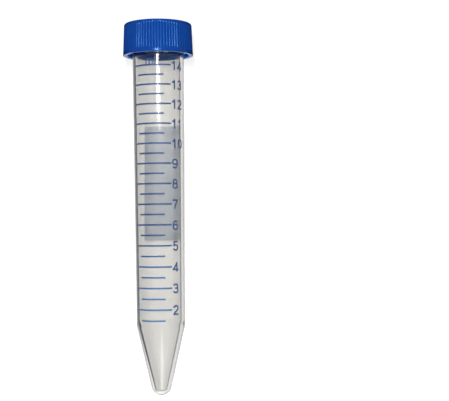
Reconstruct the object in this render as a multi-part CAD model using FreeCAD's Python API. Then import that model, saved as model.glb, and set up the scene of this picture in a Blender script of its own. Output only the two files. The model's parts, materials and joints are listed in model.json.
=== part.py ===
"""15 ml conical centrifuge tube with a one-piece screw cap, lying at rest on a flat surface.

Both pieces are drawn upright in the tube's own frame: the axis is +Z, the tip touches
Z = 0 and the scale side faces -Y. They are then laid down together as the closed tube
comes to rest, on the lower rim of the cap and on the shoulder above the cone, with the
cap towards +Y and the scale side up. Sizes are in millimetres.
"""
import FreeCAD, Part
import math
import os

# Tube: one clear moulding
TUBE_LENGTH = 118.3          # tip to rim
RIM_OUTER_DIAMETER = 16.7    # outside, at the rim
SHOULDER_OUTER_DIAMETER = 15.4
SHOULDER_HEIGHT = 22.3       # where the cone meets the straight body
TIP_DIAMETER = 5.1           # of the cone, carried down to the tip's plane; the tip is a ball
RIM_WALL = 1.07
SHOULDER_WALL = 0.94         # square to the axis, like the rim's
CONE_WALL = 1.2              # square to the cone
FLOOR_THICKNESS = 1.6        # solid tip under the cavity
SHOULDER_ROUNDING = 6.0
FLOOR_BEVEL = 0.6            # inside, where the cavity's floor turns up
RIM_BEVEL = 0.2
TUBE_PARTING_ANGLE = 3.2143  # of the mould's parting line, in degrees round from +X

# Cap: one coloured moulding with a plug seal
CAP_HEIGHT = 10.3
THREAD_SPACE = 1.5           # between the tube's neck and the skirt, for both threads
CAP_WALL = 1.5               # of the skirt, at the open end
CAP_DRAFT = 0.4              # how much smaller the skirt's outer radius is at the top
CAP_ROOF = 1.7
CAP_TOP_BEVEL = 0.6
CAP_LIP_BEVEL = 0.15         # both edges of the open end
CAP_ROOF_BEVEL = 0.5         # inside, where the skirt meets the roof
PLUG_CLEARANCE = 0.12        # between the plug's side and the tube's bore
PLUG_LENGTH = 2.6
PLUG_WALL = 0.8
PLUG_BEVEL = 0.25            # both edges of the plug's end, which lead it into the bore
CAP_SCREWED_ANGLE = 1.25     # of the first groove when the cap is shut, in degrees round from +X

# Grip: fine grooves round the skirt, which leave the ribs standing between them
GROOVE_COUNT = 72
GROOVE_SHARE = 0.8           # of the pitch, at the skirt's surface
GROOVE_FLOOR_SHARE = 0.14    # of the pitch, at the bottom of the groove
GROOVE_DEPTH = 0.2
GROOVE_RUN_OUT = 0.3         # length of the slope at each end of a groove
PLAIN_BAND = 1.0             # smooth band between the open end and the grooves
TOP_BAND = 0.3               # smooth band between the grooves and the bevelled top edge
CUTTER_STAND_OFF = 0.2       # how far the groove cutter stands out of the skirt

MOST_OF_A_WALL = 0.45        # largest share of a wall that one rounding or bevel may take


class Corner:
    """Corner of a revolved outline, sharp, rounded by an arc or cut back by a bevel."""

    def __init__(self, radius, height, rounding=0.0, bevel=0.0):
        self.point = FreeCAD.Vector(radius, 0, height)
        self.rounding = rounding
        self.bevel = bevel

    def finished(self, before, after):
        """Points that stand for the corner: one if sharp, two if bevelled, three on an arc."""
        to_before = (before - self.point).normalize()
        to_after = (after - self.point).normalize()
        if self.bevel > 0:
            return self.point + to_before * self.bevel, self.point + to_after * self.bevel
        if self.rounding > 0:
            half_angle = to_before.getAngle(to_after) / 2
            reach = self.rounding / math.tan(half_angle)
            to_centre = (to_before + to_after).normalize()
            centre = self.point + to_centre * (self.rounding / math.sin(half_angle))
            middle = centre - to_centre * self.rounding
            return self.point + to_before * reach, middle, self.point + to_after * reach
        return (self.point,)


def revolved(outline):
    """Solid of revolution about Z from a closed list of corners."""
    count = len(outline)
    runs = []
    for index, corner in enumerate(outline):
        before = outline[index - 1].point
        after = outline[(index + 1) % count].point
        runs.append(corner.finished(before, after))
    edges = []
    for index, run in enumerate(runs):
        if len(run) == 3:
            edges.append(Part.Arc(*run).toShape())
        if len(run) == 2:
            edges.append(Part.makeLine(*run))
        following = runs[(index + 1) % count][0]
        if run[-1].distanceToPoint(following) > 1e-6:
            edges.append(Part.makeLine(run[-1], following))
    face = Part.Face(Part.Wire(edges))
    return face.revolve(FreeCAD.Vector(0, 0, 0), FreeCAD.Vector(0, 0, 1), 360)


def along(height, low, high):
    """Radius at a height on the straight line between two (radius, height) points."""
    share = (height - low[1]) / (high[1] - low[1])
    return low[0] + (high[0] - low[0]) * share


def crossing(low_a, high_a, low_b, high_b):
    """(radius, height) where two straight wall lines meet."""
    slope_a = (high_a[0] - low_a[0]) / (high_a[1] - low_a[1])
    slope_b = (high_b[0] - low_b[0]) / (high_b[1] - low_b[1])
    start_a = low_a[0] - slope_a * low_a[1]
    start_b = low_b[0] - slope_b * low_b[1]
    height = (start_b - start_a) / (slope_a - slope_b)
    return start_a + slope_a * height, height


# Outside of the tube: tip, shoulder and rim
TIP = (TIP_DIAMETER / 2, 0.0)
SHOULDER = (SHOULDER_OUTER_DIAMETER / 2, SHOULDER_HEIGHT)
RIM = (RIM_OUTER_DIAMETER / 2, TUBE_LENGTH)
CONE_ANGLE = math.atan2(SHOULDER[0] - TIP[0], SHOULDER[1] - TIP[1])

# Inside of the tube: the cone's and the body's wall lines, and where they meet
CONE_INSET = CONE_WALL / math.cos(CONE_ANGLE)
INNER_TIP = (TIP[0] - CONE_INSET, TIP[1])
INNER_CONE_TOP = (SHOULDER[0] - CONE_INSET, SHOULDER[1])
INNER_BODY_FOOT = (SHOULDER[0] - SHOULDER_WALL, SHOULDER[1])
INNER_RIM = (RIM[0] - RIM_WALL, RIM[1])
INNER_SHOULDER = crossing(INNER_TIP, INNER_CONE_TOP, INNER_BODY_FOOT, INNER_RIM)
INNER_FLOOR = (along(FLOOR_THICKNESS, INNER_TIP, INNER_CONE_TOP), FLOOR_THICKNESS)

# The tip is a ball that meets the cone smoothly and touches the tip's plane on the axis
TIP_RADIUS = TIP[0] / math.tan((math.pi / 2 - CONE_ANGLE) / 2)
FLOOR_EDGE = min(FLOOR_BEVEL, MOST_OF_A_WALL * INNER_FLOOR[0])
RIM_EDGE = min(RIM_BEVEL, MOST_OF_A_WALL * RIM_WALL)

# Cap: its roof sits on the tube's rim and its plug stands in the tube's bore
ROOF_UNDERSIDE = TUBE_LENGTH
CAP_TOP = ROOF_UNDERSIDE + CAP_ROOF
CAP_OPEN_END = CAP_TOP - CAP_HEIGHT
CAP_MOUTH = (RIM[0] + THREAD_SPACE, CAP_OPEN_END)
SKIRT_FOOT = (CAP_MOUTH[0] + CAP_WALL, CAP_OPEN_END)
SKIRT_TOP = (SKIRT_FOOT[0] - CAP_DRAFT, CAP_TOP)
PLUG_RADIUS = INNER_RIM[0] - PLUG_CLEARANCE
PLUG_BORE = PLUG_RADIUS - PLUG_WALL
PLUG_END = ROOF_UNDERSIDE - PLUG_LENGTH
TOP_EDGE = min(CAP_TOP_BEVEL, MOST_OF_A_WALL * CAP_ROOF)
LIP_EDGE = min(CAP_LIP_BEVEL, MOST_OF_A_WALL * CAP_WALL)
PLUG_EDGE = min(PLUG_BEVEL, MOST_OF_A_WALL * PLUG_WALL)


def make_tube():
    """Tapered body, conical bottom with a solid ball tip, open top."""
    return revolved([
        Corner(0, TIP[1]),
        Corner(*TIP, rounding=TIP_RADIUS),
        Corner(*SHOULDER, rounding=SHOULDER_ROUNDING),
        Corner(*RIM, bevel=RIM_EDGE),
        Corner(*INNER_RIM, bevel=RIM_EDGE),
        Corner(*INNER_SHOULDER, rounding=SHOULDER_ROUNDING),
        Corner(*INNER_FLOOR, bevel=FLOOR_EDGE),
        Corner(0, INNER_FLOOR[1]),
    ])


def make_cap_blank():
    """Smooth cap: drafted skirt, flat roof and the plug that hangs from it."""
    return revolved([
        Corner(0, CAP_TOP),
        Corner(*SKIRT_TOP, bevel=TOP_EDGE),
        Corner(*SKIRT_FOOT, bevel=LIP_EDGE),
        Corner(*CAP_MOUTH, bevel=LIP_EDGE),
        Corner(CAP_MOUTH[0], ROOF_UNDERSIDE, bevel=CAP_ROOF_BEVEL),
        Corner(PLUG_RADIUS, ROOF_UNDERSIDE),
        Corner(PLUG_RADIUS, PLUG_END, bevel=PLUG_EDGE),
        Corner(PLUG_BORE, PLUG_END, bevel=PLUG_EDGE),
        Corner(PLUG_BORE, ROOF_UNDERSIDE),
        Corner(0, ROOF_UNDERSIDE),
    ])


def make_groove_cutter():
    """Tapered block for the groove at angle 0, leaning in with the drafted skirt."""
    low = CAP_OPEN_END + PLAIN_BAND
    high = CAP_TOP - TOP_EDGE - TOP_BAND
    length = high - low
    surface = along((low + high) / 2, SKIRT_FOOT, SKIRT_TOP)
    pitch = 2 * math.pi * surface / GROOVE_COUNT
    flank = (GROOVE_SHARE - GROOVE_FLOOR_SHARE) * pitch / 2 / GROOVE_DEPTH
    run_out = GROOVE_RUN_OUT / GROOVE_DEPTH
    half_floor = GROOVE_FLOOR_SHARE * pitch / 2
    height = GROOVE_DEPTH + CUTTER_STAND_OFF
    half_mouth = half_floor + flank * height
    half_floor_length = length / 2 - GROOVE_RUN_OUT
    half_mouth_length = half_floor_length + run_out * height
    block = Part.makeWedge(
        -half_mouth, 0, -half_mouth_length, -half_floor_length, -half_floor,
        half_mouth, height, half_mouth_length, half_floor_length, half_floor,
    )
    block.rotate(FreeCAD.Vector(0, 0, 0), FreeCAD.Vector(0, 0, 1), 90)
    draft = math.degrees(math.atan2(CAP_DRAFT, CAP_HEIGHT))
    block.rotate(FreeCAD.Vector(0, 0, 0), FreeCAD.Vector(0, 1, 0), -draft)
    out = FreeCAD.Vector(math.cos(math.radians(draft)), 0, math.sin(math.radians(draft)))
    block.translate(FreeCAD.Vector(surface, 0, (low + high) / 2) + out * CUTTER_STAND_OFF)
    return block


def make_cap():
    """Cap with its ring of grip grooves."""
    cutter = make_groove_cutter()
    cutters = []
    for index in range(GROOVE_COUNT):
        turned = cutter.copy()
        angle = index * 360 / GROOVE_COUNT
        turned.rotate(FreeCAD.Vector(0, 0, 0), FreeCAD.Vector(0, 0, 1), angle)
        cutters.append(turned)
    return make_cap_blank().cut(cutters)


def rest_angle():
    """Angle between the axis and the surface that the shoulder and the cap's lip touch."""
    start, middle, end = Corner(*SHOULDER, rounding=SHOULDER_ROUNDING).finished(
        FreeCAD.Vector(TIP[0], 0, TIP[1]), FreeCAD.Vector(RIM[0], 0, RIM[1])
    )
    centre = Part.Arc(start, middle, end).toShape().Curve.Center
    lip = Corner(*SKIRT_FOOT, bevel=LIP_EDGE).finished(
        FreeCAD.Vector(SKIRT_TOP[0], 0, SKIRT_TOP[1]), FreeCAD.Vector(CAP_MOUTH[0], 0, CAP_MOUTH[1])
    )[0]
    to_lip = lip - centre
    return math.atan2(to_lip.x, to_lip.z) - math.asin(SHOULDER_ROUNDING / to_lip.Length)


def turned(piece, angle):
    """The upright piece turned about its axis."""
    piece.rotate(FreeCAD.Vector(0, 0, 0), FreeCAD.Vector(0, 0, 1), angle)
    return piece


def lay_down(pieces):
    """Lays the pieces on Z = 0, with the middle of their common box at X = Y = 0."""
    turn = -(90 - math.degrees(rest_angle()))
    for piece in pieces.values():
        piece.rotate(FreeCAD.Vector(0, 0, 0), FreeCAD.Vector(1, 0, 0), turn)
    box = Part.makeCompound(list(pieces.values())).optimalBoundingBox(False, False)
    shift = FreeCAD.Vector(-box.Center.x, -box.Center.y, -box.ZMin)
    for piece in pieces.values():
        piece.translate(shift)
    return shift


def main():
    """Builds the two pieces, lays them down and writes one STEP file for each."""
    os.makedirs("parts", exist_ok=True)
    pieces = {
        "tube": turned(make_tube(), TUBE_PARTING_ANGLE),
        "cap": turned(make_cap(), CAP_SCREWED_ANGLE),
    }
    shift = lay_down(pieces)
    for name, piece in pieces.items():
        piece.exportStep(f"parts/{name}.step")
        print(f"{name}: {piece.Volume / 1000:.3f} cm3, {len(piece.Faces)} faces, valid {piece.isValid()}")
    print(f"axis {math.degrees(rest_angle()):.4f} degrees up from +Y; tip frame at {shift}")


main()
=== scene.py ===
"""15 ml conical tube with a screw cap: clear body, ribbed cap, printed scale and writing patch."""
import json
import logging
import math
from dataclasses import dataclass, field, replace
from enum import Enum
from typing import Any, Callable, Iterable, Protocol

import bmesh
import bpy
from mathutils import Euler, Matrix, Vector
from mathutils.geometry import delaunay_2d_cdt


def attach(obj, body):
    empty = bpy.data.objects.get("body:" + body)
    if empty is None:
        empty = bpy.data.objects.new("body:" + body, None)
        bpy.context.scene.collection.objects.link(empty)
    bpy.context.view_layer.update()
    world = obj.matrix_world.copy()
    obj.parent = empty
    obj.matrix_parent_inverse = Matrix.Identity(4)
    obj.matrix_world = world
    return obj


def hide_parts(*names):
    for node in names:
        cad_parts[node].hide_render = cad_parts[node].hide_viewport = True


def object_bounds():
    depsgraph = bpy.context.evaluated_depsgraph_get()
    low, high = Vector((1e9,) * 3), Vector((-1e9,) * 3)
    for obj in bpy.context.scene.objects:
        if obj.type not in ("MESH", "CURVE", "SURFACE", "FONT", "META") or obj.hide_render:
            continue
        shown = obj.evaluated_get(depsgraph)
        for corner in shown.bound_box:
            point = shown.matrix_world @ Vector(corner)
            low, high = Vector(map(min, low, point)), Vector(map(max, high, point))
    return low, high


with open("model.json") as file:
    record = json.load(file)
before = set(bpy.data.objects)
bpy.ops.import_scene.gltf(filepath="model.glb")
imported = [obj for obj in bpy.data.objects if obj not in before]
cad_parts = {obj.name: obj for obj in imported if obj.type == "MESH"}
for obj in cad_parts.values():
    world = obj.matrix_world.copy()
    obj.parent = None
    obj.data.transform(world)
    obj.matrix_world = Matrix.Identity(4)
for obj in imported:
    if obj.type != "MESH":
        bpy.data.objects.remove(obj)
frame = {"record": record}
CAD_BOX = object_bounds()

LOG = logging.getLogger("conical_tube")
MM = 0.001
ML = 1e-6
TURN = 2 * math.pi

Colour = tuple[float, float, float]
Point = tuple[float, float]
Stroke = list[Point]
Stops = tuple[tuple[float, float], ...]
Socket = bpy.types.NodeSocket


# Finishes


@dataclass(frozen=True)
class Grain:
    """Noise pattern: its size, its octaves and how many times longer it is along the tube."""

    size: float
    detail: float = 2.0
    stretch: float = 1.0


class Bench:
    """Node tree of one material, with short ways to add and join its nodes."""

    def __init__(self, name: str) -> None:
        """Starts an empty tree.

        Args:
            name: the material's name.
        """
        self.material = bpy.data.materials.new(name)
        self.material.use_nodes = True
        self.tree = self.material.node_tree
        self.tree.nodes.clear()
        self.output = self.tree.nodes.new("ShaderNodeOutputMaterial")
        self.place = self.add("ShaderNodeTexCoord").outputs["Object"]

    def add(
        self, kind: str, settings: dict[str, Any] | None = None, **sockets: Any
    ) -> bpy.types.Node:
        """Adds a node.

        Args:
            kind: the node's type.
            settings: the node's own properties by name.
            sockets: inputs by name, with _ for a blank; a socket is linked, anything else is set.

        Returns:
            The new node.
        """
        node = self.tree.nodes.new(kind)
        for key, value in (settings or {}).items():
            setattr(node, key, value)
        return self.feed(node, {key.replace("_", " "): value for key, value in sockets.items()})

    def feed(self, node: bpy.types.Node, values: dict[str | int, Any]) -> bpy.types.Node:
        """Fills a node's inputs.

        Args:
            node: the node.
            values: by the input's name or number; a socket is linked, anything else is set.

        Returns:
            The node.
        """
        for key, value in values.items():
            if isinstance(value, Socket):
                self.tree.links.new(value, node.inputs[key])
            else:
                node.inputs[key].default_value = value
        return node

    def aslant(self) -> Socket:
        """How far the surface turns away from the view: 0 face on, 1 edge on."""
        return self.add("ShaderNodeLayerWeight", Blend=0.5).outputs["Facing"]

    def coordinate(self, name: str) -> Socket:
        """The piece's own X, Y or Z coordinate, by its name."""
        return self.add("ShaderNodeSeparateXYZ", Vector=self.place).outputs[name]

    def noise(self, grain: Grain) -> Socket:
        """Noise on the piece's own coordinates.

        Args:
            grain: the pattern.

        Returns:
            The noise's value, 0 to 1.
        """
        scale = (1.0, 1.0 / grain.stretch, 1.0)
        place = self.add("ShaderNodeMapping", Vector=self.place, Scale=scale).outputs[0]
        sockets = {"Vector": place, "Scale": 1.0 / grain.size, "Detail": grain.detail}
        return self.add("ShaderNodeTexNoise", **sockets).outputs["Fac"]

    def ranged(self, value: Socket, start: float, end: float, low: float, high: float) -> Socket:
        """Carries a value onto a range: low up to the start, and high from the end on."""
        node = self.add("ShaderNodeMapRange")
        return self.feed(node, dict(enumerate((value, start, end, low, high)))).outputs[0]

    def between(self, share: Socket, low: float, high: float) -> Socket:
        """Carries a noise value from its usual spread, 0.3 to 0.7, onto a range."""
        return self.ranged(share, 0.3, 0.7, low, high)

    def along(self, start: float, end: float, low: float, high: float) -> Socket:
        """Carries the Y coordinate, which runs along the tube, from one range onto another."""
        return self.ranged(self.coordinate("Y"), start, end, low, high)

    def tinted(self, share: Socket, one: Socket | Colour, other: Colour) -> Socket:
        """Mixes two colours.

        Args:
            share: how much of the second shows, 0 to 1.
            one: the first colour, plain or from a socket.
            other: the second colour.

        Returns:
            The mixed colour.
        """
        first = one if isinstance(one, Socket) else opaque(one)
        mix = self.add("ShaderNodeMix", {"data_type": "RGBA"})
        # A mix node has inputs 6 and 7 and output 2 for colours, and 2, 3 and 0 for numbers.
        return self.feed(mix, {0: share, 6: first, 7: opaque(other)}).outputs[2]

    def blend(self, share: Socket, one: Colour, other: Colour) -> Socket:
        """Mixes two colours by a noise value."""
        return self.tinted(self.between(share, 0.0, 1.0), one, other)

    def weighed(self, share: Socket, one: Socket, other: Socket) -> Socket:
        """Mixes two numbers, where the share is how much of the second counts."""
        mix = self.add("ShaderNodeMix", {"data_type": "FLOAT"})
        return self.feed(mix, {0: share, 2: one, 3: other}).outputs[0]

    def ramp(self, value: Socket, stops: Stops) -> Socket:
        """Carries a value along straight runs between stops.

        Args:
            value: the value, 0 to 1.
            stops: pairs of a value and its result, in rising order.

        Returns:
            The result, which is a level outside the first and last stops.
        """
        node = self.add("ShaderNodeValToRGB", Fac=value)
        elements = node.color_ramp.elements
        elements.remove(elements[1])
        for index, (spot, result) in enumerate(stops):
            element = elements.new(spot) if index else elements[0]
            element.position = spot
            element.color = (result, result, result, 1.0)
        return node.outputs[0]

    def bump(self, height: Socket, depth: float) -> Socket:
        """Normal of a surface that is uneven by a depth, in metres."""
        return self.add("ShaderNodeBump", Height=height, Distance=depth, Strength=1.0).outputs[0]

    def mixed(self, share: Socket, one: Socket, other: Socket) -> Socket:
        """Mixes two shaders, where the share is how much of the second shows."""
        mix = self.add("ShaderNodeMixShader")
        return self.feed(mix, {0: share, 1: one, 2: other}).outputs[0]

    def math(self, operation: str, one: Socket, other: Socket | float) -> Socket:
        """Works out a value from two, by the operation's name."""
        node = self.add("ShaderNodeMath", {"operation": operation})
        return self.feed(node, {0: one, 1: other}).outputs[0]

    def finish(self, shader: Socket) -> bpy.types.Material:
        """Joins the last shader to the output and gives the finished material."""
        self.feed(self.output, {"Surface": shader})
        return self.material


def opaque(colour: Colour) -> tuple[float, float, float, float]:
    """Colour as a node takes it, with full alpha."""
    return (*colour, 1.0)


def looked_at(tree: bpy.types.NodeTree) -> Socket:
    """Tells rays that look at something from rays that light it.

    Args:
        tree: the node tree of a material or of the world.

    Returns:
        1 for rays from the camera, a glossy surface or a clear one, and 0 for others.
    """
    rays = tree.nodes.new("ShaderNodeLightPath")
    seen = rays.outputs["Is Camera Ray"]
    for kind in ("Is Glossy Ray", "Is Transmission Ray"):
        either = tree.nodes.new("ShaderNodeMath")
        either.operation = "MAXIMUM"
        tree.links.new(seen, either.inputs[0])
        tree.links.new(rays.outputs[kind], either.inputs[1])
        seen = either.outputs[0]
    return seen


@dataclass(frozen=True)
class ClearPolypropylene:
    """Clear moulded plastic, with a warm tint, slight flow lines and a hazy veil that shows edge
    on; its colour is painted darker edge on and towards the cap end, as painted shade.
    """

    name: str = "clear_polypropylene"
    tint: Colour = (0.724, 0.719, 0.703)
    deeper_tint: Colour = (0.708, 0.703, 0.687)
    # Painted shade: the wall is painted darker from neck_start on, towards the cap end.
    painted_cap_end_shade: Colour = (0.690, 0.686, 0.670)
    neck_start: float = 21 * MM
    neck_end: float = 31 * MM
    painted_cap_end_share: float = 0.8
    # Painted shade: the clear colour is painted darker where the wall is seen edge on, which
    # outlines the tube.
    painted_edge_shade: Colour = (0.45, 0.45, 0.45)
    painted_edge_run: Stops = ((0.35, 0.0), (0.80, 1.0))
    haze_and_painted_line: Colour = (0.55, 0.55, 0.57)
    haze_run: Stops = ((0.55, 0.0), (0.75, 0.35), (0.95, 0.7))
    shadow_tint: Colour = (0.95, 0.948, 0.945)
    glint: Colour = (0.26, 0.26, 0.26)
    polish: float = 0.05
    scuffed: float = 0.09
    bend: float = 1.49
    cloud: Grain = Grain(9 * MM, stretch=4.0)
    flow: Grain = Grain(2.2 * MM, detail=1.0, stretch=9.0)
    flow_depth: float = 0.005 * MM
    handling: Grain = Grain(0.7 * MM, detail=4.0, stretch=2.0)

    def material(self) -> bpy.types.Material:
        """Makes the material.

        Returns:
            The material.
        """
        bench = Bench(self.name)
        aslant = bench.aslant()
        wall = bench.blend(bench.noise(self.cloud), self.tint, self.deeper_tint)
        # Share of the painted shade towards the cap end.
        neck = bench.along(self.neck_start, self.neck_end, 0.0, self.painted_cap_end_share)
        tint = bench.tinted(neck, wall, self.painted_cap_end_shade)
        clear = bench.add(
            "ShaderNodeBsdfPrincipled",
            # Base colour painted darker edge on: painted shade along the outline.
            Base_Color=bench.tinted(bench.ramp(aslant, self.painted_edge_run), tint, self.painted_edge_shade),
            Roughness=bench.between(bench.noise(self.handling), self.polish, self.scuffed),
            IOR=self.bend,
            Transmission_Weight=1.0,
            Specular_Tint=opaque(self.glint),
            Normal=bench.bump(bench.noise(self.flow), self.flow_depth),
        )
        # The second shader is the hazy veil on the outer wall, and the painted dark line on the
        # bore.
        haze_and_painted_line_shader = bench.add("ShaderNodeBsdfDiffuse", Color=opaque(self.haze_and_painted_line))
        shader = bench.mixed(self.haze_and_painted_line_share(bench, aslant), clear.outputs[0], haze_and_painted_line_shader.outputs[0])
        shadow = bench.add("ShaderNodeBsdfTransparent", Color=opaque(self.shadow_tint))
        rays = bench.add("ShaderNodeLightPath")
        return bench.finish(bench.mixed(rays.outputs["Is Shadow Ray"], shader, shadow.outputs[0]))

    def haze_and_painted_line_share(self, bench: Bench, aslant: Socket) -> Socket:
        """Share of the hazy veil by how far the surface turns away: 0 face on, 1 edge on."""
        return bench.ramp(aslant, self.haze_run)


@dataclass(frozen=True)
class BorePolypropylene(ClearPolypropylene):
    """The same plastic at the bore, with a fine dark line painted along the bore's outline.

    The line is painted shade: it stands for dark surroundings seen edge on through the wall. It is
    painted stronger where X is negative; where X is positive it is fainter, more so along the
    body.
    """

    name: str = "bore_polypropylene_painted_line"
    # Near-black colour of the painted dark line, in place of the hazy veil.
    haze_and_painted_line: Colour = (0.02, 0.02, 0.035)
    strong_painted_line: Stops = ((0.259, 0.0), (0.270, 1.0), (0.318, 1.0), (0.350, 0.0))
    faint_painted_line: Stops = ((0.214, 0.0), (0.228, 1.0), (0.240, 1.0), (0.254, 0.0))
    tip_end: float = -56 * MM
    body_end: float = -40 * MM
    painted_line_faintness: float = 0.62

    def haze_and_painted_line_share(self, bench: Bench, aslant: Socket) -> Socket:
        """Share of the painted dark line by how far the bore turns away, seen from inside the
        wall.

        Args:
            bench: the material's node tree.
            aslant: 0 face on, 1 edge on.

        Returns:
            The share, 0 to 1.
        """
        # Painted shade: a dark line where the bore is seen edge on, heavier where X is negative.
        right = bench.math("GREATER_THAN", bench.coordinate("X"), 0.0)
        share = bench.along(self.tip_end, self.body_end, 1.0, self.painted_line_faintness)
        faint_painted_line = bench.math("MULTIPLY", bench.ramp(aslant, self.faint_painted_line), share)
        line = bench.weighed(right, bench.ramp(aslant, self.strong_painted_line), faint_painted_line)
        within = bench.add("ShaderNodeNewGeometry").outputs["Backfacing"]
        return bench.math("MULTIPLY", within, line)


@dataclass(frozen=True)
class BluePolyethylene:
    """Satin moulded blue plastic with a fine grain and slightly uneven gloss.

    Its sheen fades between two shares of turning away, and light may glow through a thin wall.
    """

    name: str = "blue_polyethylene"
    colour: Colour = (0.0025, 0.047, 0.280)
    deeper: Colour = (0.002, 0.041, 0.252)
    glint: Colour = (0.20, 0.52, 1.0)
    sheen: float = 0.26
    edge_sheen: float = 0.0
    fade_from: float = 0.15
    fade_to: float = 0.50
    glow: float = 0.0
    glow_reach: Colour = (0.1, 0.4, 1.0)
    glow_depth: float = 2.0 * MM
    polish: float = 0.13
    dull: float = 0.19
    bend: float = 1.51
    cloud: Grain = Grain(4 * MM, detail=3.0)
    grain: Grain = Grain(0.22 * MM, detail=3.0)
    grain_depth: float = 0.008 * MM

    def material(self) -> bpy.types.Material:
        """Makes the material.

        Returns:
            The material.
        """
        bench = Bench(self.name)
        grain = bench.noise(self.grain)
        fading = ((self.fade_from, self.sheen), (self.fade_to, self.edge_sheen))
        shader = bench.add(
            "ShaderNodeBsdfPrincipled",
            Base_Color=bench.blend(bench.noise(self.cloud), self.colour, self.deeper),
            Roughness=bench.between(grain, self.polish, self.dull),
            IOR=self.bend,
            Specular_IOR_Level=bench.ramp(bench.aslant(), fading),
            Specular_Tint=opaque(self.glint),
            Subsurface_Weight=self.glow,
            Subsurface_Radius=self.glow_reach,
            Subsurface_Scale=self.glow_depth,
            Normal=bench.bump(grain, self.grain_depth),
        )
        return bench.finish(shader.outputs[0])


@dataclass(frozen=True)
class Ink:
    """Thin printed ink, a little uneven in density as it comes off the printing pad.

    Where a tipward colour is given, the ink is painted paler towards the tip and stays darker
    towards the cap: painted light.
    """

    name: str
    colour: Colour
    thin: Colour
    dull: float
    mottle: Grain
    tipward_painted_light: Colour | None = None
    painted_light_to: float = -28 * MM
    painted_light_from: float = -8 * MM
    dull_spread: float = 0.06
    bend: float = 1.45
    grain: Grain = Grain(0.12 * MM)
    grain_depth: float = 0.004 * MM

    def material(self) -> bpy.types.Material:
        """Makes the material.

        Returns:
            The material.
        """
        bench = Bench(self.name)
        grain = bench.noise(self.grain)
        colour = bench.blend(bench.noise(self.mottle), self.colour, self.thin)
        # Painted light: the ink's colour pales towards the tip.
        if self.tipward_painted_light:
            painted_light_share = bench.along(self.painted_light_to, self.painted_light_from, 1.0, 0.0)
            colour = bench.tinted(painted_light_share, colour, self.tipward_painted_light)
        dullest = self.dull + self.dull_spread
        shader = bench.add(
            "ShaderNodeBsdfPrincipled",
            Base_Color=colour,
            Roughness=bench.between(grain, self.dull - self.dull_spread, dullest),
            IOR=self.bend,
            Normal=bench.bump(grain, self.grain_depth),
        )
        return bench.finish(shader.outputs[0])


@dataclass(frozen=True)
class StudioPaper:
    """Pale backdrop that looks white where it is lit and keeps the object's soft shadow."""

    colour: Colour = (0.30, 0.30, 0.30)
    fleck: Colour = (0.2955, 0.2955, 0.2955)
    fibre: Grain = Grain(1.5 * MM, detail=3.0)
    shade: Colour = (0.22, 0.22, 0.22)
    white: float = 0.84

    def material(self) -> bpy.types.Material:
        """Makes the material.

        Returns:
            The material.
        """
        bench = Bench("studio_paper")
        fibres = bench.blend(bench.noise(self.fibre), self.colour, self.fleck)
        paper = bench.add("ShaderNodeBsdfDiffuse", Color=fibres)
        shaded = bench.add("ShaderNodeBsdfDiffuse", Color=opaque(self.shade))
        glow = bench.add("ShaderNodeEmission", Color=opaque((1.0, 1.0, 1.0)), Strength=self.white)
        seen = bench.add("ShaderNodeAddShader")
        bench.feed(seen, {0: shaded.outputs[0], 1: glow.outputs[0]})
        return bench.finish(bench.mixed(looked_at(bench.tree), paper.outputs[0], seen.outputs[0]))


# Shaping


@dataclass(frozen=True)
class TubeAxis:
    """The tube's own frame: tip at the origin, axis along +Z, scale side facing -Y."""

    tip: Vector
    along: Vector

    @classmethod
    def from_record(cls, record: dict[str, Any], closed_length: float) -> "TubeAxis":
        """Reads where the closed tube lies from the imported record.

        Args:
            record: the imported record.
            closed_length: from the tip to the top of the cap.

        Returns:
            The frame.
        """
        along = Vector(record["behaviour"]["joints"][0]["axis"]).normalized()
        top = next(m for m in record["mounts"] if m["name"] == "cap_top")
        return cls(Vector(top["pos_m"]) - closed_length * along, along)

    def placement(self) -> Matrix:
        """Transform from the tube's own frame to the shared one.

        Returns:
            The transform.
        """
        across = Vector((1.0, 0.0, 0.0))
        back = self.along.cross(across)
        turn = Matrix((across, back, self.along)).transposed().to_4x4()
        return Matrix.Translation(self.tip) @ turn


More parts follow.
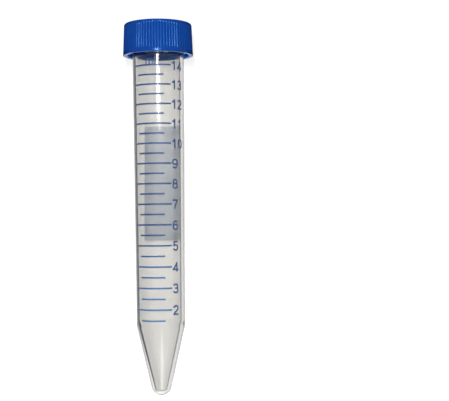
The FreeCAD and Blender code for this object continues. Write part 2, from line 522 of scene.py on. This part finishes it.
class Outline:
    """Half section through the axis: a chain of corners that is rounded, ringed and spun."""

    def __init__(self) -> None:
        """Starts an empty chain."""
        self.mesh = bmesh.new()
        self.chain: list[bmesh.types.BMVert] = []
        self.roundings: list[tuple[bmesh.types.BMVert, float, int]] = []
        self.rings: list[tuple[Vector, Vector, int]] = []

    def to(
        self, radius: float, height: float, reach: float = 0.0, steps: int = 4, rings: int = 0
    ) -> "Outline":
        """Adds the next corner.

        Args:
            radius: distance from the axis.
            height: distance from the tip's plane.
            reach: how far from the corner its rounding starts, 0 if it is sharp.
            steps: faces round the rounding.
            rings: cuts that divide the run from the corner before.

        Returns:
            The outline, for the next corner.
        """
        vert = self.mesh.verts.new((radius, 0.0, height))
        if self.chain:
            self.mesh.edges.new((self.chain[-1], vert))
        if rings:
            self.rings.append((self.chain[-1].co.copy(), vert.co.copy(), rings))
        if reach:
            self.roundings.append((vert, reach, steps))
        self.chain.append(vert)
        return self

    def spun(self, steps: int, sectors: int = 1, weld: float = 0.0012 * MM) -> bmesh.types.BMesh:
        """Rounds the corners, cuts the rings and spins the chain into a closed solid.

        Args:
            steps: faces round the axis.
            sectors: equal sectors that it is spun in, more than 1 for a fine mesh.
            weld: distance up to which two points become one.

        Returns:
            The solid.
        """
        bm = self.mesh
        for vert, reach, segments in self.roundings:
            bmesh.ops.bevel(
                bm, geom=[vert], offset=reach, offset_type="OFFSET", segments=segments,
                profile=0.5, affect="VERTICES", material=-1, clamp_overlap=False,
            )
        for start, end, cuts in self.rings:
            run = self._run_at((start + end) / 2)
            bmesh.ops.subdivide_edges(bm, edges=[run], cuts=cuts)
        bmesh.ops.spin(
            bm, geom=bm.verts[:] + bm.edges[:], cent=(0, 0, 0), axis=(0, 0, 1),
            angle=TURN / sectors, steps=steps // sectors, use_merge=sectors == 1,
            use_duplicate=False,
        )
        if sectors > 1:
            bmesh.ops.spin(
                bm, geom=bm.verts[:] + bm.edges[:] + bm.faces[:], cent=(0, 0, 0), axis=(0, 0, 1),
                angle=TURN - TURN / sectors, steps=sectors - 1, use_merge=False,
                use_duplicate=True,
            )
        bmesh.ops.remove_doubles(bm, verts=bm.verts[:], dist=weld)
        bmesh.ops.recalc_face_normals(bm, faces=bm.faces[:])
        return bm

    def _run_at(self, spot: Vector) -> bmesh.types.BMEdge:
        """Finds the run of the chain that a point lies on.

        Args:
            spot: the point.

        Returns:
            The run.
        """
        return min(
            self.mesh.edges,
            key=lambda e: sum((v.co - spot).length for v in e.verts) - e.calc_length(),
        )


@dataclass(frozen=True)
class Thread:
    """Helical ridge that stands out of, or into, a round wall."""

    start: float
    pitch: float
    turns: float
    height: float
    crest: float
    root: float
    phase: float = 0.0
    run_in: float = 0.12

    def rise(self, angle: float, height: float) -> float:
        """How far the ridge stands off the wall at a point.

        Args:
            angle: round the axis.
            height: along the axis.

        Returns:
            The distance off the wall.
        """
        first = ((angle - self.phase) % TURN) / TURN
        best = 0.0
        for lap in range(math.ceil(self.turns) + 1):
            along = first + lap
            if along >= self.turns:
                break
            off = abs(height - self.start - self.pitch * along)
            flank = min(1.0, max(0.0, (self.root - off) / (self.root - self.crest)))
            ends = min(1.0, along / self.run_in, (self.turns - along) / self.run_in)
            best = max(best, smooth(flank) * smooth(ends))
        return self.height * best


def smooth(share: float) -> float:
    """Eases a share from 0 to 1 in and out."""
    return share * share * (3.0 - 2.0 * share)


def push_walls(bm: bmesh.types.BMesh, move: Callable[[float, float, float], float]) -> None:
    """Moves the points of a spun solid out from or in towards its axis.

    Args:
        bm: the solid.
        move: gives the change of radius from a point's radius, angle and height.
    """
    for vert in bm.verts:
        radius = math.hypot(vert.co.x, vert.co.y)
        if radius < MM:
            continue
        angle = math.atan2(vert.co.y, vert.co.x) % TURN
        scale = 1.0 + move(radius, angle, vert.co.z) / radius
        vert.co.x *= scale
        vert.co.y *= scale


def line_inside(bm: bmesh.types.BMesh, inside: Callable[[float, float], bool]) -> None:
    """Gives the faces of a spun solid's inside the second material.

    Args:
        bm: the solid.
        inside: tells whether a face is inside from its middle's radius and height.
    """
    for face in bm.faces:
        middle = face.calc_center_median()
        face.material_index = int(inside(middle.xy.length, middle.z))


class Finish(Protocol):
    """What a piece's surface is made of."""

    def material(self) -> bpy.types.Material:
        """Makes the material."""


def publish(
    bm: bmesh.types.BMesh,
    name: str,
    axis: TubeAxis,
    finish: Finish,
    body: str,
    replaces: str = "",
    crease: float = 32.0,
    painted_lining: Finish | None = None,
) -> bpy.types.Object:
    """Args:
        bm: the mesh, in the tube's own frame, which is freed.
        name: the piece's name.
        axis: where the tube lies.
        finish: finish of its faces.
        body: the body that the piece rides on.
        replaces: CAD node that the piece stands for, if any.
        crease: angle between faces, in degrees, from which an edge shows as sharp.
        painted_lining: finish of the faces whose material index is 1, if any.

    Returns:
        The piece's object.
    """
    bmesh.ops.transform(bm, matrix=axis.placement(), verts=bm.verts[:])
    mesh = bpy.data.meshes.new(name)
    bm.to_mesh(mesh)
    bm.free()
    mesh.shade_smooth()
    mesh.set_sharp_from_angle(angle=math.radians(crease))
    for coat in (finish, painted_lining):
        if coat:
            mesh.materials.append(coat.material())
    piece = bpy.data.objects.new(name, mesh)
    bpy.context.scene.collection.objects.link(piece)
    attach(piece, body)
    if replaces:
        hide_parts(replaces)
    LOG.info("%s rides on %s: %d faces", name, body, len(mesh.polygons))
    return piece


# Sub-assemblies


@dataclass(frozen=True)
class TubeBody:
    """Clear body: ball tip, cone, tapered wall, open threaded neck."""

    length: float = 118.3 * MM
    rim_radius: float = 8.35 * MM
    shoulder_radius: float = 7.7 * MM
    shoulder_height: float = 22.3 * MM
    tip_radius: float = 2.55 * MM
    rim_wall: float = 1.07 * MM
    shoulder_wall: float = 0.94 * MM
    cone_wall: float = 1.2 * MM
    floor: float = 1.6 * MM
    neck_foot: float = 109.2 * MM
    ball_share: float = 0.9999
    shoulder_rounding: float = 0.68 * MM
    rim_rounding: float = 0.2 * MM
    crease_rounding: float = 0.62 * MM
    floor_rounding: float = 0.6 * MM
    wall_margin: float = 0.3 * MM
    floor_margin: float = 0.16 * MM
    segments: int = 192
    thread: Thread = Thread(
        start=111.6 * MM, pitch=3.0 * MM, turns=1.6, height=0.8 * MM,
        crest=0.25 * MM, root=0.72 * MM, phase=0.6,
    )

    def outer_radius(self, height: float) -> float:
        """Radius of the straight body's outside at a height."""
        share = (height - self.shoulder_height) / (self.length - self.shoulder_height)
        return self.shoulder_radius + share * (self.rim_radius - self.shoulder_radius)

    def inner_radius(self, height: float) -> float:
        """Radius of the cavity at a height: the narrower of the cone and the body."""
        return min(self._line(self._body_wall, height), self._line(self._cone_wall, height))

    @property
    def _body_wall(self) -> Point:
        """Inside of the straight body.

        Returns:
            Its radius in the tip's plane and its slope.
        """
        foot = self.shoulder_radius - self.shoulder_wall
        slope = (self.rim_radius - self.rim_wall - foot) / (self.length - self.shoulder_height)
        return foot - slope * self.shoulder_height, slope

    @property
    def _cone_wall(self) -> Point:
        """Inside of the cone: its radius in the tip's plane and its slope."""
        slope = (self.shoulder_radius - self.tip_radius) / self.shoulder_height
        return self.tip_radius - self.cone_wall * math.hypot(1.0, slope), slope

    def _line(self, wall: Point, height: float) -> float:
        """Radius of a straight wall at a height."""
        return wall[0] + wall[1] * height

    def height_of(self, volume: float, slices: int = 600) -> float:
        """Height at which the cavity holds a volume, where its line is printed.

        Args:
            volume: in cubic metres.
            slices: thin layers that the cavity is added up from.

        Returns:
            The height above the tip's plane.
        """
        layer = (self.length - self.floor) / slices
        held = 0.0
        for index in range(slices):
            middle = self.floor + (index + 0.5) * layer
            area = math.pi * self.inner_radius(middle) ** 2
            if held + area * layer >= volume:
                return middle - 0.5 * layer + (volume - held) / area
            held += area * layer
        return self.length

    def build(self, axis: TubeAxis) -> None:
        """Builds the body.

        Args:
            axis: where the tube lies.
        """
        (body, body_slope), (cone, cone_slope) = self._body_wall, self._cone_wall
        crease = (body - cone) / (cone_slope - body_slope)
        bm = (
            Outline()
            .to(0.0, 0.0)
            .to(self.tip_radius, 0.0, reach=self.ball_share * self.tip_radius, steps=14)
            .to(self.shoulder_radius, self.shoulder_height, self.shoulder_rounding, steps=6)
            .to(self.outer_radius(self.neck_foot), self.neck_foot, rings=24)
            .to(self.rim_radius, self.length, self.rim_rounding, steps=3, rings=56)
            .to(self.rim_radius - self.rim_wall, self.length, self.rim_rounding, steps=3)
            .to(self.inner_radius(crease), crease, self.crease_rounding, steps=6, rings=24)
            .to(self.inner_radius(self.floor), self.floor, self.floor_rounding, steps=5)
            .to(0.0, self.floor)
            .spun(self.segments)
        )
        push_walls(bm, self._thread_move)
        line_inside(bm, self._in_bore)
        publish(
            bm, "tube_shell", axis, ClearPolypropylene(), "tube", "tube",
            painted_lining=BorePolypropylene(),
        )

    def _in_bore(self, radius: float, height: float) -> bool:
        """Whether a face at this place belongs to the cavity's wall or floor."""
        near_wall = radius < self.inner_radius(height) + self.wall_margin
        return near_wall and height > self.floor - self.floor_margin

    def _thread_move(self, radius: float, angle: float, height: float) -> float:
        """Change of radius that raises the thread on the outside of the neck."""
        outside = height > self.neck_foot and radius > self.rim_radius - self.rim_wall / 2
        return self.thread.rise(angle, height) if outside else 0.0


@dataclass(frozen=True)
class ScrewCap:
    """Blue cap: ribbed skirt, flat roof, plug seal and the thread inside."""

    roof_underside: float = 118.3 * MM
    roof: float = 1.7 * MM
    height: float = 10.3 * MM
    foot_radius: float = 11.345 * MM
    top_radius: float = 10.95 * MM
    mouth_radius: float = 9.85 * MM
    plug_radius: float = 7.16 * MM
    plug_wall: float = 0.8 * MM
    plug_length: float = 2.6 * MM
    ribs: int = 72
    rib_depth: float = 0.2 * MM
    first_groove: float = 1.25
    plain_band: float = 1.0 * MM
    plain_top: float = 0.75 * MM
    fade: float = 0.35 * MM
    top_rounding: float = 0.7 * MM
    lip_rounding: float = 0.15 * MM
    roof_rounding: float = 0.5 * MM
    plug_rounding: float = 0.25 * MM
    outer_share: float = 0.6
    wall_margin: float = 0.1 * MM
    lip_margin: float = 0.2 * MM
    lip_height: float = 0.01 * MM
    segments: int = 720
    thread: Thread = Thread(
        start=111.3 * MM, pitch=3.0 * MM, turns=1.7, height=0.85 * MM,
        crest=0.2 * MM, root=0.68 * MM, phase=0.6 + math.pi,
    )
    # Painted light: the cap's inside and the lip's flat end are the same plastic painted a far
    # brighter blue, for light glowing through the thin skirt.
    painted_lining: BluePolyethylene = BluePolyethylene(
        "blue_polyethylene_painted_lit_inside", (0.012, 0.26, 0.95), (0.012, 0.24, 0.90), (0.3, 0.65, 1.0),
        edge_sheen=0.08, glow=1.0,
    )

    @property
    def top(self) -> float:
        """Height of the cap's top face."""
        return self.roof_underside + self.roof

    @property
    def open_end(self) -> float:
        """Height of the cap's lower rim."""
        return self.top - self.height

    def build(self, axis: TubeAxis) -> None:
        """Builds the cap.

        Args:
            axis: where the tube lies.
        """
        lean = (self.foot_radius - self.top_radius) / self.height
        rib_foot = self.open_end + self.plain_band
        rib_top = self.top - self.plain_top
        plug_inside = self.plug_radius - self.plug_wall
        plug_end = self.roof_underside - self.plug_length
        bm = (
            Outline()
            .to(0.0, self.top)
            .to(self.top_radius, self.top, self.top_rounding, steps=8)
            .to(self.top_radius + lean * self.plain_top, rib_top)
            .to(self.top_radius + lean * (self.top - rib_foot), rib_foot, rings=26)
            .to(self.foot_radius, self.open_end, self.lip_rounding, steps=3)
            .to(self.mouth_radius, self.open_end, self.lip_rounding, steps=3)
            .to(self.mouth_radius, self.roof_underside, self.roof_rounding, steps=4, rings=46)
            .to(self.plug_radius, self.roof_underside)
            .to(self.plug_radius, plug_end, self.plug_rounding, steps=3)
            .to(plug_inside, plug_end, self.plug_rounding, steps=3)
            .to(plug_inside, self.roof_underside)
            .to(0.0, self.roof_underside)
            .spun(self.segments, self.ribs)
        )
        groove = Matrix.Rotation(math.radians(self.first_groove), 3, "Z")
        bmesh.ops.rotate(bm, cent=(0, 0, 0), matrix=groove, verts=bm.verts[:])
        push_walls(bm, self._wall_move)
        # Gives the hollow and the lip's flat end the painted lighter blue.
        line_inside(bm, self._painted_lit_inside)
        publish(
            bm, "cap_shell", axis, BluePolyethylene(), "cap", "cap",
            painted_lining=self.painted_lining,
        )

    def _painted_lit_inside(self, radius: float, height: float) -> bool:
        """Whether a face belongs to the cap's inside, which is painted a brighter blue for the
        light that comes through the skirt.

        Args:
            radius: distance of the face's middle from the axis.
            height: its height.

        Returns:
            True for the lip's flat end and for the hollow under the roof.
        """
        at_end = height < self.open_end + self.lip_height
        lip = at_end and radius < self.foot_radius - self.lip_margin
        below_roof = height < self.top - self.roof / 2
        return lip or (below_roof and radius < self.mouth_radius + self.wall_margin)

    def _wall_move(self, radius: float, angle: float, height: float) -> float:
        """Change of radius that cuts the grooves outside and raises the thread inside.

        Args:
            radius: the point's distance from the axis.
            angle: round the axis.
            height: along the axis.

        Returns:
            The change.
        """
        if radius > self.mouth_radius + self.outer_share * (self.foot_radius - self.mouth_radius):
            above = height - self.open_end - self.plain_band
            below = self.top - self.plain_top - height
            ends = min(1.0, max(0.0, above / self.fade), max(0.0, below / self.fade))
            across = (self.ribs * (angle - math.radians(self.first_groove)) / TURN) % 1.0
            return -self.rib_depth * smooth(ends) * (2.0 * across - 1.0) ** 2
        past_lip = height > self.open_end + self.lip_margin
        inside = past_lip and radius > self.mouth_radius - self.wall_margin
        return -self.thread.rise(angle, height) if inside else 0.0


# Print


@dataclass
class Transfer:
    """Flat artwork in arc length and height, in metres, that is wrapped on the tube's outside."""

    body: TubeBody
    proud: float = 0.012 * MM
    strip: float = 0.4 * MM
    nearest: float = 0.003 * MM
    pen_gap: float = 1e-5
    cut_gap: float = 1e-8
    mesh: bmesh.types.BMesh = field(default_factory=bmesh.new)

    def bar(self, left: float, right: float, middle: float, width: float, corner: float) -> None:
        """Adds a straight bar with rounded corners.

        Args:
            left: arc at its left end.
            right: arc at its right end.
            middle: height of its centre line.
            width: how tall it is.
            corner: reach of its corners' rounding.
        """
        low, high = middle - width / 2, middle + width / 2
        corners = [(left, low), (right, low), (right, high), (left, high)]
        verts = [self.mesh.verts.new((x, y, 0.0)) for x, y in corners]
        self.mesh.faces.new(verts)
        bmesh.ops.bevel(
            self.mesh, geom=verts, offset=corner, offset_type="OFFSET", segments=5, profile=0.5,
            affect="VERTICES", material=-1, clamp_overlap=True,
        )

    def strokes(
        self, strokes: Iterable[Stroke], left: float, low: float, size: float, pen: float
    ) -> None:
        """Adds a figure drawn with a pen of one width, as one clean area.

        Args:
            strokes: centre lines, on a height of 1.
            left: arc at the figure's left.
            low: height of its foot.
            size: how tall it is.
            pen: width of the strokes, on a height of 1.
        """
        points: list[Vector] = []
        quads: list[list[int]] = []
        for stroke in strokes:
            edges = pen_edges(stroke, pen / 2)
            start = len(points)
            points += [point for pair in edges for point in pair]
            for a in range(start, len(points) - 2, 2):
                quads.append([a, a + 1, a + 3, a + 2])
        # Type 1 gives triangles, and only those inside the quads.
        spots, _, areas, _, _, sources = delaunay_2d_cdt(points, [], quads, 1, self.pen_gap, True)
        verts = [self.mesh.verts.new((left + size * p.x, low + size * p.y, 0.0)) for p in spots]
        for area, source in zip(areas, sources):
            if source:
                self.mesh.faces.new([verts[i] for i in area])

    def wrapped(self) -> bmesh.types.BMesh:
        """Cuts the artwork into narrow strips, wraps it round the tube and gives it thickness.

        Returns:
            The printed layer, in the tube's own frame.
        """
        bm = self.mesh
        bmesh.ops.delete(bm, geom=[v for v in bm.verts if not v.link_faces], context="VERTS")
        bmesh.ops.remove_doubles(bm, verts=bm.verts[:], dist=self.nearest)
        across = [v.co.x for v in bm.verts]
        cut = min(across) + self.strip
        while cut < max(across):
            bmesh.ops.bisect_plane(
                bm, geom=bm.verts[:] + bm.edges[:] + bm.faces[:], dist=self.cut_gap,
                plane_co=(cut, 0, 0), plane_no=(1, 0, 0),
            )
            cut += self.strip
        bmesh.ops.dissolve_degenerate(bm, edges=bm.edges[:], dist=self.nearest)
        for vert in bm.verts:
            radius = self.body.outer_radius(vert.co.y)
            angle = vert.co.x / radius
            out = radius - self.proud
            vert.co = (out * math.sin(angle), -out * math.cos(angle), vert.co.y)
        bm.normal_update()
        inward = [f for f in bm.faces if f.normal.xy.dot(f.calc_center_median().xy) < 0]
        bmesh.ops.reverse_faces(bm, faces=inward)
        bmesh.ops.solidify(bm, geom=bm.faces[:], thickness=-2 * self.proud)
        bmesh.ops.recalc_face_normals(bm, faces=bm.faces[:])
        return bm


def pen_edges(
    stroke: Stroke, half: float, bluntness: float = 0.35, gap: float = 1e-6
) -> list[tuple[Vector, Vector]]:
    """Left and right edges of a stroke, with mitred corners.

    Args:
        stroke: points of its centre line; a closed one ends where it starts.
        half: half the pen's width.
        bluntness: least that a mitre is divided by, which keeps sharp corners short.
        gap: distance up to which its two ends are one point.

    Returns:
        A pair of points for each point of the stroke.
    """
    line = [Vector(p) for p in stroke]
    closed = (line[0] - line[-1]).length < gap
    pairs = []
    for index, spot in enumerate(line):
        before = line[index - 1] if index else (line[-2] if closed else None)
        after = line[index + 1] if index + 1 < len(line) else (line[1] if closed else None)
        ahead = (after - spot).normalized() if after else (spot - before).normalized()
        behind = (spot - before).normalized() if before else ahead
        middle = (ahead + behind).normalized()
        side = Vector((-middle.y, middle.x))
        reach = half / max(bluntness, middle.dot(ahead))
        pairs.append((spot + reach * side, spot - reach * side))
    return pairs


def arc(
    middle: Point, across: float, up: float, start: float, end: float, steps: int = 20
) -> Stroke:
    """Points on part of an ellipse.

    Args:
        middle: its centre.
        across: its half width.
        up: its half height.
        start: first angle in degrees, anticlockwise from the right.
        end: last angle in degrees.
        steps: runs that it is drawn in.

    Returns:
        The points.
    """
    spots = []
    for index in range(steps + 1):
        angle = math.radians(start + (end - start) * index / steps)
        spots.append((middle[0] + across * math.cos(angle), middle[1] + up * math.sin(angle)))
    return spots


@dataclass(frozen=True)
class Figures:
    """Plain upright figures of one stroke width, on a height of 1."""

    pen: float = 0.17
    advance: float = 0.76
    narrow: float = 0.70
    wide: float = 1.09
    breadth: float = 1.12

    def strokes(self, sign: str) -> list[Stroke]:
        """Centre lines of one sign.

        Args:
            sign: a digit, m or l.

        Returns:
            The strokes.
        """
        six = [
            arc((0.345, 0.315), 0.2625, 0.2525, 0, 360, 28),
            [(0.0825, 0.315), (0.0825, 0.5)] + arc((0.3625, 0.5), 0.28, 0.4375, 180, 38)[1:],
        ]
        return {
            "0": [arc((0.345, 0.5), 0.2575, 0.4375, 0, 360, 32)],
            "1": [[(0.06, 0.735), (0.19, 0.765), (0.28, 0.835), (0.33, 0.95)],
                  [(0.335, 1.0), (0.335, 0.0)]],
            "2": [arc((0.335, 0.695), 0.255, 0.2425, 172, -32)
                  + [(0.42, 0.43), (0.22, 0.28), (0.12, 0.16), (0.09, 0.0)],
                  [(0.03, 0.0625), (0.63, 0.0625)]],
            "3": [arc((0.325, 0.73), 0.235, 0.2075, 165, -90) + [(0.26, 0.5225)],
                  [(0.26, 0.5375)] + arc((0.33, 0.3), 0.2625, 0.2375, 90, -168)],
            "4": [[(0.67, 0.255), (0.085, 0.255), (0.47, 0.93)], [(0.47, 1.0), (0.47, 0.0)]],
            "5": [[(0.61, 0.9375), (0.13, 0.9375)], [(0.185, 0.95), (0.13, 0.46)],
                  arc((0.335, 0.335), 0.265, 0.2725, 148, -160)],
            "6": six,
            "7": [[(0.05, 0.9375), (0.63, 0.9375), (0.45, 0.68), (0.31, 0.36), (0.25, 0.0)]],
            "8": [arc((0.345, 0.7375), 0.215, 0.2, 0, 360, 28),
                  arc((0.345, 0.3), 0.265, 0.2375, 0, 360, 28)],
            "9": [[(0.69 - x, 1.0 - y) for x, y in stroke] for stroke in six],
            "m": [[(0.0625, 0.0), (0.0625, 0.72)],
                  [(0.0625, 0.4)] + arc((0.27, 0.46), 0.2075, 0.2, 180, 0, 12) + [(0.4775, 0.0)],
                  [(0.4775, 0.4)] + arc((0.685, 0.46), 0.2075, 0.2, 180, 0, 12) + [(0.8925, 0.0)]],
            "l": [[(0.0625, 0.0), (0.0625, 1.0)]],
        }[sign]

    def write(self, art: Transfer, text: str, left: float, low: float, size: float) -> None:
        """Adds a short text to the artwork.

        Args:
            art: the artwork.
            text: digits, m and l.
            left: arc at the first sign's left.
            low: height of the signs' foot.
            size: how tall a digit is.
        """
        for sign in text:
            drawn = [[(self.breadth * x, y) for x, y in stroke] for stroke in self.strokes(sign)]
            art.strokes(drawn, left, low, size, self.pen)
            step = {"1": self.narrow, "m": self.wide}.get(sign, self.advance)
            left += size * step * self.breadth


class Reach(Enum):
    """How far a line of the scale runs round the tube, as arcs in degrees from the front."""

    LONG = (-60.8, 31.7)
    SHORT = (-47.6, 14.8)


@dataclass(frozen=True)
class PrintedScale:
    """Lines at every half millilitre with a number at each whole one, and the unit above."""

    body: TubeBody
    first: float = 1.5
    last: int = 14
    width: float = 0.52 * MM
    corner: float = 0.12 * MM
    figure_height: float = 3.05 * MM
    figure_start: float = 33.6
    figure_drop: float = 0.12 * MM
    unit_start: float = -25.6
    unit_height: float = 2.4 * MM
    unit_gap: float = 0.25 * MM
    # The lines' tipward colour is painted light: paler towards the tip.
    ink: Ink = Ink(
        "blue_ink", (0.012, 0.046, 0.140), (0.022, 0.062, 0.175), 0.5,
        Grain(0.9 * MM, detail=3.0), tipward_painted_light=(0.065, 0.185, 0.40),
    )
    # The numbers' tipward colour is painted light: paler towards the tip.
    number_tipward_painted_light: Colour = (0.030, 0.085, 0.220)

    def build(self, axis: TubeAxis) -> None:
        """Builds the scale's lines, its numbers and its unit.

        Args:
            axis: where the tube lies.
        """
        lines = Transfer(self.body)
        numbers = Transfer(self.body)
        figures = Figures()
        number_ink = replace(self.ink, name="number_ink", tipward_painted_light=self.number_tipward_painted_light)
        for halves in range(round(2 * self.first), 2 * self.last + 1):
            height = self.body.height_of(halves / 2 * ML)
            whole = halves % 2 == 0
            reach = Reach.LONG if whole else Reach.SHORT
            left, right = (self._arc(angle, height) for angle in reach.value)
            lines.bar(left, right, height, self.width, self.corner)
            if whole:
                start = self._arc(self.figure_start, height)
                low = height - self.figure_height / 2 - self.figure_drop
                figures.write(numbers, str(halves // 2), start, low, self.figure_height)
        unit = Transfer(self.body)
        low = self.body.height_of(self.last * ML) + self.unit_gap
        figures.write(unit, "ml", self._arc(self.unit_start, low), low, self.unit_height)
        prints = (
            ("scale_lines", lines, self.ink),
            ("scale_numbers", numbers, number_ink),
            ("unit_mark", unit, number_ink),
        )
        for name, art, ink in prints:
            publish(art.wrapped(), name, axis, ink, "tube")

    def _arc(self, angle: float, height: float) -> float:
        """Arc length for an angle in degrees at a height."""
        return math.radians(angle) * self.body.outer_radius(height)


@dataclass(frozen=True)
class WritingPatch:
    """Matt patch to write on, opposite the scale."""

    body: TubeBody
    middle: float = 167.5
    width: float = 16.6 * MM
    low: float = 49.7 * MM
    high: float = 87.4 * MM
    corner: float = 0.8 * MM
    ink: Ink = Ink(
        "patch_ink", (0.385, 0.413, 0.456), (0.415, 0.443, 0.486), 0.62,
        Grain(2.5 * MM, detail=3.0),
    )

    def build(self, axis: TubeAxis) -> None:
        """Builds the patch.

        Args:
            axis: where the tube lies.
        """
        art = Transfer(self.body)
        height = (self.low + self.high) / 2
        centre = math.radians(self.middle) * self.body.outer_radius(height)
        art.bar(
            centre - self.width / 2, centre + self.width / 2, height, self.high - self.low,
            self.corner,
        )
        publish(art.wrapped(), "writing_patch", axis, self.ink, "tube")


# Studio


@dataclass(frozen=True)
class Studio:
    """Pale floor, soft light from above and a camera that looks down on the scale."""

    distance: float = 346 * MM
    beside: float = 21.0 * MM
    height: float = 55.5 * MM
    pitch: float = 1.16
    roll: float = -0.69
    lens: float = 85.63
    nearest: float = 10 * MM
    floor_size: float = 3.0
    floor_drop: float = 0.02 * MM
    daylight: float = 0.14
    lamp_power: float = 0.74
    lamp_size: tuple[float, float] = (34 * MM, 60 * MM)
    lamp_place: tuple[float, float, float] = (0.5 * MM, -257 * MM, 140 * MM)
    lamp_aim: tuple[float, float, float] = (0.0, 0.0, 75 * MM)

    def build(self, axis: TubeAxis) -> None:
        """Sets the floor, the light and the camera.

        Args:
            axis: where the tube lies.
        """
        scene = bpy.context.scene
        scene.view_settings.view_transform = "Standard"
        self._floor()
        self._daylight(scene)
        self._lamp(axis)
        self._camera(scene, axis)

    def _floor(self) -> None:
        """Lays the floor just under the object."""
        bm = bmesh.new()
        bmesh.ops.create_grid(bm, x_segments=1, y_segments=1, size=self.floor_size)
        level = CAD_BOX[0][2] - self.floor_drop
        bmesh.ops.translate(bm, verts=bm.verts[:], vec=(0, 0, level))
        mesh = bpy.data.meshes.new("floor")
        bm.to_mesh(mesh)
        bm.free()
        mesh.materials.append(StudioPaper().material())
        floor = bpy.data.objects.new("floor", mesh)
        bpy.context.scene.collection.objects.link(floor)

    def _daylight(self, scene: bpy.types.Scene) -> None:
        """Even light from all round.

        Args:
            scene: the scene to light.
        """
        world = bpy.data.worlds.new("daylight")
        world.use_nodes = True
        tree = world.node_tree
        sky = tree.nodes["Background"]
        sky.inputs["Color"].default_value = opaque((1.0, 1.0, 1.0))
        strength = tree.nodes.new("ShaderNodeMapRange")
        strength.inputs["To Min"].default_value = self.daylight
        strength.inputs["To Max"].default_value = 1.0
        tree.links.new(looked_at(tree), strength.inputs["Value"])
        tree.links.new(strength.outputs["Result"], sky.inputs["Strength"])
        scene.world = world

    def _lamp(self, axis: TubeAxis) -> None:
        """Hangs a small soft lamp above the object, towards the cap.

        Args:
            axis: where the tube lies.
        """
        light = bpy.data.lights.new("lamp", "AREA")
        light.shape = "RECTANGLE"
        light.size, light.size_y = self.lamp_size
        light.energy = self.lamp_power
        lamp = bpy.data.objects.new("lamp", light)
        bpy.context.scene.collection.objects.link(lamp)
        spot = Vector(self.lamp_place)
        turn = (Vector(self.lamp_aim) - spot).to_track_quat("-Z", "Y").to_matrix().to_4x4()
        lamp.matrix_world = axis.placement() @ Matrix.Translation(spot) @ turn

    def _camera(self, scene: bpy.types.Scene, axis: TubeAxis) -> None:
        """Places the camera.

        Args:
            scene: the scene that it belongs to.
            axis: where the tube lies.
        """
        data = bpy.data.cameras.new("camera")
        data.lens = self.lens
        data.clip_start = self.nearest
        camera = bpy.data.objects.new("camera", data)
        scene.collection.objects.link(camera)
        spot = Matrix.Translation((self.beside, -self.distance, self.height))
        level = Euler((math.radians(90.0 + self.pitch), 0.0, 0.0)).to_matrix().to_4x4()
        tilt = Matrix.Rotation(math.radians(self.roll), 4, "Z")
        camera.matrix_world = axis.placement() @ spot @ level @ tilt
        scene.camera = camera


def main() -> None:
    """Builds the tube, its cap and its print, and then the studio."""
    logging.basicConfig(level=logging.INFO, format="%(name)s: %(message)s")
    body = TubeBody()
    cap = ScrewCap()
    axis = TubeAxis.from_record(frame["record"], cap.top)
    for part in (body, cap, PrintedScale(body), WritingPatch(body), Studio()):
        LOG.info("building %s", type(part).__name__)
        part.build(axis)


if __name__ == "__main__":
    main()
